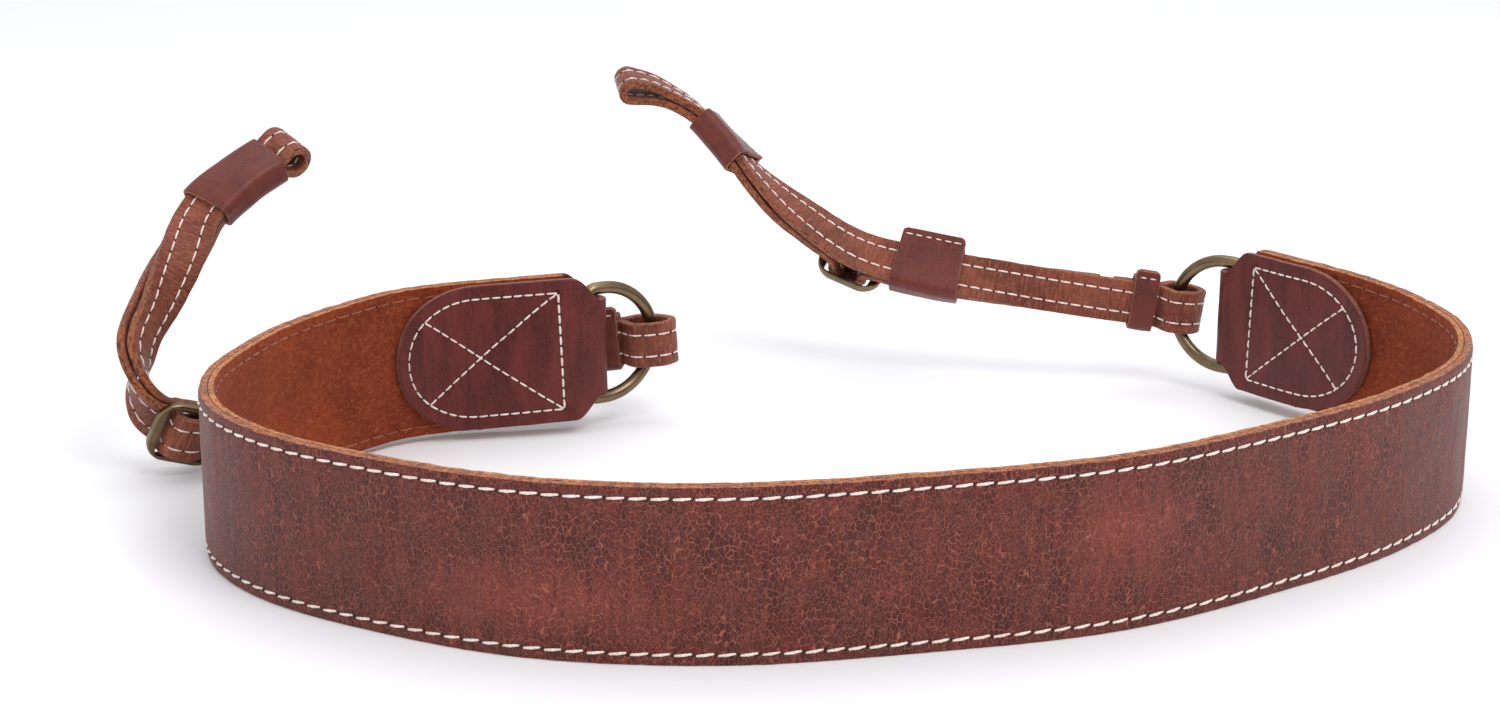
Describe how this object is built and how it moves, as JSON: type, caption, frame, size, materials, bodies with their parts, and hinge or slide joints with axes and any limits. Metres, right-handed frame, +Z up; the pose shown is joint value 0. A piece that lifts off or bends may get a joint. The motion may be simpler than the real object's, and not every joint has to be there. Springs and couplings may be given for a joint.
{
  "type": "camera neck strap",
  "caption": "Leather neck strap lying in an open loop, with D rings, narrow ends through sliders and loops that take a camera's lugs.",
  "frame": {"origin": "middle of the bounding box's base, on the table", "axes": "+X to the right and +Y away as the strap is seen from the closed side of its loop, +Z up"},
  "size_m": [0.3241, 0.2492, 0.0795],
  "materials": {
    "Waxed grain leather": "pebbled waxed grain, satin",
    "Suede lining leather": "napped suede, matt",
    "Maroon tab leather": "smooth grain, satin",
    "Strap leather": "smooth oiled grain with raw edges, satin",
    "Keeper leather": "smooth grain, soft shine",
    "Antique brass": "darkened, rubbed bright on the edges"
  },
  "bodies": {
    "root": {"band_outer": "Waxed grain leather", "band_lining": "Suede lining leather", "end_tab_left": "Maroon tab leather", "end_tab_right": "Maroon tab leather", "ring_left": "Antique brass", "ring_right": "Antique brass", "lug_strap_left": "Strap leather", "lug_strap_right": "Strap leather", "ring_keeper_left": "Keeper leather", "ring_keeper_right": "Keeper leather", "tail_keeper_left": "Keeper leather", "tail_keeper_right": "Keeper leather", "lug_keeper_left": "Keeper leather", "lug_keeper_right": "Keeper leather", "slider_left": "Antique brass", "slider_right": "Antique brass"}
  },
  "joints": []
}
